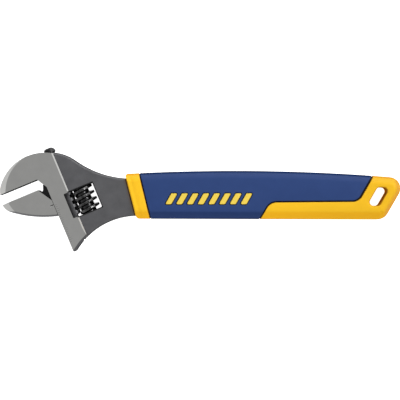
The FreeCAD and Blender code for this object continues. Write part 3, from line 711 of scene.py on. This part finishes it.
class Material:
    """A node material round one Principled shader, with short ways to add nodes."""

    def __init__(self, name, **values):
        self.data = bpy.data.materials.new(name)
        self.data.use_nodes = True
        self.tree = self.data.node_tree
        self.shader = self.tree.nodes["Principled BSDF"]
        self.set(self.shader, values)
        self.coordinates = self.add("TexCoord")

    def set(self, node, values):
        """Feeds inputs of a node; an underscore stands for a space in an input's name."""
        for name, value in values.items():
            self.feed(node.inputs[name.replace("_", " ")], value)

    def feed(self, socket, value):
        if isinstance(value, bpy.types.NodeSocket):
            self.tree.links.new(value, socket)
        else:
            socket.default_value = value

    def add(self, kind, settings=(), **values):
        node = self.tree.nodes.new("ShaderNode" + kind)
        for name, value in dict(settings).items():
            setattr(node, name, value)
        self.set(node, values)
        return node

    def maths(self, operation, *values):
        node = self.add("Math", {"operation": operation})
        for socket, value in zip(node.inputs, values):
            self.feed(socket, value)
        return node.outputs[0]

    def surface(self, **values):
        """Feeds inputs of the Principled shader."""
        self.set(self.shader, values)

    def magnitude(self, value):
        return self.maths("ABSOLUTE", value)

    def opposite(self, share):
        return self.maths("SUBTRACT", 1.0, share)

    def blend(self, one, two, share):
        """That share of one, and the rest of two."""
        return self.maths("MULTIPLY_ADD", one, share, self.maths("MULTIPLY", two, 1 - share))

    def product(self, *values):
        total = values[0]
        for value in values[1:]:
            total = self.maths("MULTIPLY", total, value)
        return total

    def rise(self, value, low, high, start=0.0, end=1.0):
        """Smoothly from start to end while value goes from low to high."""
        node = self.add("MapRange", {"interpolation_type": "SMOOTHSTEP"})
        for socket, given in zip(node.inputs, (value, low, high, start, end)):
            self.feed(socket, given)
        return node.outputs[0]

    def band(self, value, low, high, soft):
        """1 between low and high, 0 outside."""
        up = self.rise(value, low - soft, low + soft)
        return self.maths("MULTIPLY", up, self.rise(value, high - soft, high + soft, 1.0, 0.0))

    def mix(self, share, one, two):
        node = self.add("Mix", {"data_type": "RGBA"})
        self.feed(node.inputs[0], share)
        self.feed(node.inputs[6], one)
        self.feed(node.inputs[7], two)
        return node.outputs[2]

    def split(self, vector):
        return self.add("SeparateXYZ", Vector=vector).outputs

    def place(self):
        """Position in the row frame, millimetres."""
        node = self.add("VectorMath", {"operation": "SCALE"}, Scale=1 / MM)
        self.feed(node.inputs[0], self.coordinates.outputs["Object"])
        return node.outputs[0]

    def in_slide_frame(self, vector, shifted=True):
        """u, v and height over the mid-plane."""
        cos, sin = math.cos(HEAD_ANGLE), math.sin(HEAD_ANGLE)
        x, y = WORM_CENTRE if shifted else (0.0, 0.0)
        node = self.add("Mapping", {"vector_type": "POINT"}, Vector=vector)
        node.inputs["Rotation"].default_value = (0, 0, -HEAD_ANGLE)
        away = (-x * cos - y * sin, x * sin - y * cos, -MID if shifted else 0.0)
        node.inputs["Location"].default_value = away
        return self.split(node.outputs[0])

    def off_line(self, start, end):
        """Distance in millimetres from a line in the side view, positive on its left."""
        x, y, _ = self.split(self.place())
        length = math.dist(start, end)
        across, up = -(end[1] - start[1]) / length, (end[0] - start[0]) / length
        away = self.maths("MULTIPLY_ADD", x, across, -(start[0] * across + start[1] * up))
        return self.maths("MULTIPLY_ADD", y, up, away)

    def noise(self, feature, detail=3.0, roughness=0.55):
        """Noise whose features are about that many millimetres wide, from 0 to 1."""
        node = self.add("TexNoise", Scale=1 / feature, Detail=detail, Roughness=roughness)
        self.feed(node.inputs["Vector"], self.place())
        return node.outputs[0]

    def bump(self, height, distance):
        """Bump of that many millimetres for a height from 0 to 1, on top of any other."""
        node = self.add("Bump", Strength=1.0, Distance=distance * MM, Height=height)
        linked = self.shader.inputs["Normal"].links
        if linked:
            self.feed(node.inputs["Normal"], linked[0].from_socket)
        self.feed(self.shader.inputs["Normal"], node.outputs[0])

    def shade(self, colour, value):
        """A colour times a number."""
        node = self.add("VectorMath", {"operation": "SCALE"}, Scale=value)
        if not isinstance(colour, bpy.types.NodeSocket):
            colour = colour[:3]
        self.feed(node.inputs[0], colour)
        return node.outputs[0]

    def vary(self, colour, value, amount):
        """A colour made lighter and darker by up to that share, as value goes from 0 to 1."""
        dark = tuple(c * (1 - amount) for c in colour[:3]) + (1.0,)
        light = tuple(min(1.0, c * (1 + amount)) for c in colour[:3]) + (1.0,)
        return self.mix(value, dark, light)


GROUND = (0.60, 0.60, 0.585, 1)
FORGED = (0.088, 0.088, 0.093, 1)
# painted shade for upright walls of the dark skin
WALL_SHADE = (0.022, 0.022, 0.023, 1)
COLLAR_LIGHT = (0.16, 0.11, 0.06, 1)
CREVICE = (0.05, 0.025, 0.008, 1)
# bare steel of the worn crest, also standing in as a painted highlight
CREST_WEAR_AND_HIGHLIGHT = (0.55, 0.55, 0.54, 1)
BLACK = (0.014, 0.014, 0.015, 1)
SPRING_WIRE = (0.42, 0.41, 0.39, 1)

# how far a normal points up or down, as the two ends of a soft step
FACING_UP = (0.76, 0.84)               # from skin to ground steel
# the wall end of these steps is painted shade
BODY_UPRIGHT, JAW_UPRIGHT = (0.3, 0.97), (0.2, 0.75)   # from a wall's dark to skin
CHAMFER_UP, CHAMFER_OUT = (0.4, 0.5), (0.5, 0.6)       # the rail's ground chamfer, and how far it faces u

# more soft steps, millimetres
JAW_FLAT = (5.5, 6.0)                  # from the rod and rack out to the jaw's ground faces
ROD_FLAT = (3.2, 3.6)                  # from the rod's edges out to its faces
ROD_IN_WINDOW = (14.0, 16.0)           # along the slide, from grey to black

# fine scale on the rail, and index mark on the jaw; both in the slide frame
SCALE_PITCH, SCALE_EVERY, SCALE_TONE = 1.6, 5.0, 0.3
SCALE_SPAN = (-26.0, 5.0)
SCALE_START, SCALE_MARK, SCALE_LONGER = 0.3, 1.9, 1.2
INDEX_ACROSS, INDEX_ALONG = (-25.6, -20.0), (5.1, 5.9)


def ground_or_dark(material, ground, dark, shine, upright):
    """Bright ground steel where the mask is 1, and a dark skin of that metallic share where it is 0.

    Upright walls of the dark skin, and in part its tilted fillets, are painted with shade: nearly black,
    and they do not shine.
    """
    skin_shine = material.maths("MULTIPLY", material.opposite(upright), shine)
    level = material.shader.inputs["Specular IOR Level"].default_value
    grain = material.noise(0.35, detail=4.0, roughness=0.7)
    both = material.blend(grain, material.noise(8.0, detail=2.0), 0.5)
    rough_bright = material.rise(grain, 0.2, 0.8, 0.34, 0.46)
    rough_dull = material.rise(grain, 0.2, 0.8, 0.42, 0.60)
    rough = material.add("Mix", {"data_type": "FLOAT"})
    for socket, value in zip(rough.inputs, (ground, rough_dull, rough_bright)):
        material.feed(socket, value)
    material.surface(
        Metallic=material.maths("MAXIMUM", ground, skin_shine),
        Specular_IOR_Level=material.rise(upright, 0.0, 1.0, level, 0.0),
        Roughness=rough.outputs[0],
    )
    material.bump(grain, 0.02)
    bright = material.vary(GROUND, both, 0.13)
    skin = material.shade(dark, material.rise(both, 0.0, 1.0, 0.7, 1.3))
    # painted shade: upright walls and fillets take a nearly black colour
    return material.mix(ground, material.mix(upright, skin, WALL_SHADE), bright)


def window_outline(material, u, v, facing):
    """Mask of the window's walls, and of its edge off the rail."""
    off_rail = material.rise(u, RAIL_RIGHT - 0.1, RAIL_RIGHT + 0.1)
    return material.product(
        material.band(u, WINDOW[0] - 0.2, WINDOW[1] + WINDOW_EDGE, 0.1),
        material.band(v, -WINDOW[2] - WINDOW_EDGE, WINDOW[2] + WINDOW_EDGE, 0.1),
        material.maths("MAXIMUM", off_rail, material.opposite(facing)),
    )


def rail_scale(material, u, v):
    """Mask of a fine scale on the rail's left edge, every fifth mark longer."""
    count = material.maths("DIVIDE", v, SCALE_PITCH)
    part = material.maths("FRACT", count)
    off_mark = material.magnitude(material.maths("SUBTRACT", part, 0.5))
    group = material.maths("FRACT", material.maths("DIVIDE", count, SCALE_EVERY))
    longer = material.band(group, 0.0, 1 / SCALE_EVERY, 0.01)
    end = material.maths("MULTIPLY_ADD", longer, SCALE_LONGER, RAIL_LEFT + SCALE_MARK)
    return material.product(
        material.rise(off_mark, 0.32, 0.38),
        material.maths("LESS_THAN", u, end),
        material.rise(u, RAIL_LEFT + SCALE_START - 0.05, RAIL_LEFT + SCALE_START + 0.05),
        material.band(v, *SCALE_SPAN, 0.05),
    )


def collar_shadow(material, colour):
    """A colour with the yellow light and the shadow where the web enters the collar."""
    near = material.off_line(FRONT_TOP, FRONT_BOTTOM)
    lit = material.mix(material.rise(near, -2.8, -1.2, 0.0, 0.3), colour, COLLAR_LIGHT)
    return material.mix(material.rise(near, -1.4, -0.5), lit, CREVICE)


def body_steel():
    """Forging: the head's faces are ground bright, and all the rest keeps its dark skin, with painted
    shade on its walls.
    """
    material = Material("forging_finish", Specular_IOR_Level=0.2)
    u, v, _ = material.in_slide_frame(material.place())
    normal_u, _, normal_z = material.in_slide_frame(material.coordinates.outputs["Normal"], False)
    level = material.magnitude(normal_z)
    facing = material.rise(level, *FACING_UP)
    chamfer = material.product(material.rise(normal_u, *CHAMFER_OUT), material.rise(level, *CHAMFER_UP))
    on_head = material.rise(u, RAIL_RIGHT + 0.02, RAIL_RIGHT + 0.12, 1.0, 0.0)
    ground = material.product(on_head, material.maths("MAXIMUM", facing, chamfer))
    upright = material.rise(level, *BODY_UPRIGHT, 1.0, 0.0)
    colour = ground_or_dark(material, ground, FORGED, 0.15, upright)
    colour = material.mix(window_outline(material, u, v, facing), colour, BLACK)
    scale = material.product(rail_scale(material, u, v), ground)
    colour = material.mix(material.maths("MULTIPLY", scale, SCALE_TONE), colour, FORGED)
    material.surface(Base_Color=collar_shadow(material, colour))
    material.bump(material.opposite(scale), 0.008)
    return material.data


def jaw_steel():
    """Movable jaw: ground faces, and a rod that shows grey in the window and black above the head."""
    material = Material("jaw_finish", Specular_IOR_Level=0.5)
    u, v, height = material.in_slide_frame(material.place())
    _, _, normal_z = material.in_slide_frame(material.coordinates.outputs["Normal"], False)
    level, off_middle = material.magnitude(normal_z), material.magnitude(height)
    ground = material.product(material.rise(level, *FACING_UP), material.rise(off_middle, *JAW_FLAT))
    upright = material.rise(level, *JAW_UPRIGHT, 1.0, 0.0)
    in_window = material.rise(v, *ROD_IN_WINDOW, 1.0, 0.0)
    lightened = material.product(material.rise(off_middle, *ROD_FLAT), in_window)
    colour = ground_or_dark(material, ground, material.mix(lightened, BLACK, FORGED), 0.3, upright)
    index = material.product(
        material.band(u, *INDEX_ACROSS, 0.05), material.band(v, *INDEX_ALONG, 0.08), ground
    )
    material.surface(Base_Color=material.mix(index, colour, BLACK))
    material.bump(material.opposite(index), 0.08)
    return material.data


def black_oxide():
    """Glossy black finish, with bare steel showing through in specks."""
    material = Material("black_oxide_finish", Metallic=0.9, Coat_Weight=0.6, Coat_Roughness=0.2)
    grain = material.noise(0.5, detail=4.0, roughness=0.7)
    worn = material.rise(material.noise(1.3, detail=4.0, roughness=0.7), 0.56, 0.72)
    colour = material.mix(material.maths("MULTIPLY", worn, 0.25), material.vary(BLACK, grain, 0.4), FORGED)
    across, _, height = material.in_slide_frame(material.place())
    across_squared = material.maths("MULTIPLY", across, across)
    from_axis = material.maths("SQRT", material.maths("MULTIPLY_ADD", height, height, across_squared))
    # crest partly worn to bare steel, and partly a painted highlight along the thread
    crest = material.rise(from_axis, WORM_RADIUS - 0.22, WORM_RADIUS - 0.06)
    lightened = material.product(crest, material.rise(material.noise(2.2, detail=2.0), 0.42, 0.6))
    material.surface(
        Base_Color=material.mix(material.maths("MULTIPLY", lightened, 0.12), colour, CREST_WEAR_AND_HIGHLIGHT),
        Roughness=material.rise(grain, 0.2, 0.8, 0.18, 0.28),
    )
    material.bump(grain, 0.01)
    return material.data


def spring_steel():
    material = Material("spring_finish", Metallic=1.0)
    grain = material.noise(0.3)
    material.surface(
        Base_Color=material.vary(SPRING_WIRE, grain, 0.15),
        Roughness=material.rise(grain, 0.2, 0.8, 0.2, 0.32),
    )
    material.bump(grain, 0.01)
    return material.data


YELLOW = (0.88, 0.50, 0.018, 1)
# painted shade tones for the yellow's lower bevel and rim
YELLOW_BEVEL_SHADE = (0.90, 0.46, 0.008, 1)
YELLOW_RIM_SHADE = (0.62, 0.28, 0.025, 1)
BLUE = (0.026, 0.055, 0.175, 1)
# painted shade tones for the blue's lower bevel and rim
BLUE_BEVEL_SHADE = (0.015, 0.038, 0.135, 1)
BLUE_RIM_SHADE = (0.008, 0.020, 0.065, 1)
PALE_YELLOW = (0.78, 0.57, 0.085, 1)
# painted shade for the seam's groove and the bars' pockets
SEAM_SHADE = (0.030, 0.026, 0.014, 1)


def moulding(name, colour, feature, depth, rough, variation, bevel=None, rim=None, rear=1.0):
    """Moulded plastic with a fine matt grain and faint flow clouds.

    Its lower bevel, and its outer rim and rear-facing sides, may take painted shade in tones of their own,
    its upward sides get painted shade too, and rear is how much of its lightness is left at the grip's
    rear end.
    """
    material = Material(name, IOR=1.48, Specular_IOR_Level=0.1)
    grain = material.noise(feature, detail=2.0)
    both = material.blend(grain, material.noise(9.0), 0.4)
    back, out, up = material.split(material.coordinates.outputs["Normal"])
    at_bevel = material.rise(out, -0.5, -0.25, 1.0, 0.0)
    at_rim = material.rise(material.magnitude(up), 0.25, 0.8, 1.0, 0.0)
    at_rear = material.rise(back, 0.1, 0.75, 0.0, 0.9)
    # painted shade: the lower bevel, the rim and the rear-facing sides get darker tones
    toned = material.mix(at_bevel, colour, bevel or colour)
    toned = material.mix(material.maths("MAXIMUM", at_rim, at_rear), toned, rim or colour)
    along = material.split(material.place())[0]
    rearward = material.rise(along, -20.0, 150.0, 1.0, rear)
    # painted shade: sides that face up, towards the key lamp, are made darker
    upper_side_shade = material.rise(out, 0.1, 0.7, 1.0, 0.82)
    toned = material.shade(toned, material.product(rearward, upper_side_shade))
    clouded = material.add("MixRGB", {"blend_type": "MULTIPLY"}, Fac=1.0, Color1=toned)
    cloud_tone = (1 / (1 + variation),) * 3
    material.set(clouded, {"Color2": material.vary(cloud_tone, both, variation)})
    level = material.shader.inputs["Specular IOR Level"].default_value
    material.surface(
        Base_Color=clouded.outputs[0],
        Specular_IOR_Level=material.rise(at_rim, 0.0, 0.6, level, 0.0),
        Roughness=material.rise(grain, 0.2, 0.8, rough - 0.06, rough + 0.06),
    )
    material.bump(grain, depth)
    return material.data


# ---------------------------------------------------------------- assembly


def dress_node(name, finish):
    """A CAD piece keeps its shape and gets its own finish."""
    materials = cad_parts[name].data.materials
    materials.clear()
    materials.append(finish)


def place_piece(piece, body, replaced):
    smooth(piece.data)
    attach(piece, body)
    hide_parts(replaced)


oxide = black_oxide()
dress_node("body", body_steel())
dress_node("movable_jaw", jaw_steel())
dress_node("worm_pin", oxide)
dress_node("worm_spring", spring_steel())

yellow = moulding(
    "yellow_moulded", YELLOW, feature=0.45, depth=0.02, rough=0.38, variation=0.05,
    bevel=YELLOW_BEVEL_SHADE, rim=YELLOW_RIM_SHADE, rear=0.86,
)
blue = moulding(
    "blue_moulded", BLUE, feature=0.35, depth=0.03, rough=0.52, variation=0.12,
    bevel=BLUE_BEVEL_SHADE, rim=BLUE_RIM_SHADE,
)
pale = moulding("pale_yellow_moulded", PALE_YELLOW, feature=0.4, depth=0.02, rough=0.40, variation=0.06)
# painted shade for the grooves and pockets
seam = moulding("seam_shadow", SEAM_SHADE, feature=0.45, depth=0.02, rough=0.7, variation=0.2)

place_piece(make_grip_shell(blue, seam), "handle", "grip_shell")
place_piece(make_grip_base(yellow, seam), "handle", "grip_base")
place_piece(make_inlays(pale), "handle", "grip_inlays")
place_piece(make_worm(oxide), "worm", "adjusting_worm")

# ---------------------------------------------------------------- stage


FLOOR_GLOW, FLOOR_GREY = 1.3, (0.80, 0.80, 0.80, 1)
FLOOR_REACH, FLOOR_GAP = 3000.0, 0.02          # millimetres, as every mesh
WALL, CEILING = 0.95, 0.45
WALL_TOP, CEILING_EDGE = 0.45, 0.97            # heights on the sky between which the one becomes the other

# metres and watts
CAMERA_HEIGHT, FRAME_WIDE = 1.1, 0.3082
KEY_PLACE, KEY_SIZE, KEY_WATTS = (0.6, 2.1, 1.5), 2.4, 48.0
GLINT_PLACE, GLINT_SIZE, GLINT_WATTS = (1.0, 0.42, 1.15), 0.15, 7.0


def make_floor():
    """Glowing table just under the wrench."""
    square = ((-1, -1), (1, -1), (1, 1), (-1, 1))
    corners = [(x * FLOOR_REACH, y * FLOOR_REACH, -FLOOR_GAP) for x, y in square]
    floor = link("floor", mesh_from("floor", corners, [(0, 1, 2, 3)]))
    material = Material("light_table", Roughness=0.9, Specular_IOR_Level=0.0, Emission_Strength=FLOOR_GLOW)
    colour = material.vary(FLOOR_GREY, material.noise(40.0), 0.01)
    material.surface(Base_Color=colour, Emission_Color=colour)
    paint(floor, material.data)


def area_light(name, position, size, power):
    """Soft square lamp that points at the middle of the wrench; metres and watts."""
    lamp = bpy.data.lights.new(name, "AREA")
    lamp.size, lamp.energy = size, power
    made = link(name, lamp)
    made.location = position
    made.rotation_euler = (-Vector(position)).to_track_quat("-Z", "Y").to_euler()


def make_camera(distance, frame_wide):
    """Straight over the middle of the wrench, so that its mid-plane fills the frame."""
    lens = bpy.data.cameras.new("camera")
    lens.sensor_width = 36.0
    lens.lens = lens.sensor_width * distance / frame_wide
    camera = link("camera", lens)
    camera.location = (0, 0, distance + MID * MM)
    bpy.context.scene.camera = camera


def make_world():
    """Pale studio whose walls are brighter than its ceiling, all round."""
    world = bpy.data.worlds.new("studio")
    world.use_nodes = True
    tree = world.node_tree
    background = tree.nodes["Background"]
    background.inputs["Color"].default_value = (1, 1, 1, 1)
    way = tree.nodes.new("ShaderNodeSeparateXYZ")
    tree.links.new(tree.nodes.new("ShaderNodeTexCoord").outputs["Generated"], way.inputs[0])
    fall = tree.nodes.new("ShaderNodeMapRange")
    fall.interpolation_type = "SMOOTHSTEP"
    for socket, value in zip(list(fall.inputs)[1:], (WALL_TOP, CEILING_EDGE, WALL, CEILING)):
        socket.default_value = value
    tree.links.new(way.outputs["Z"], fall.inputs[0])
    tree.links.new(fall.outputs[0], background.inputs["Strength"])
    bpy.context.scene.world = world


make_floor()
make_camera(CAMERA_HEIGHT, FRAME_WIDE)
area_light("key", KEY_PLACE, KEY_SIZE, KEY_WATTS)
area_light("glint", GLINT_PLACE, GLINT_SIZE, GLINT_WATTS)
make_world()
bpy.context.scene.view_settings.view_transform = "Standard"
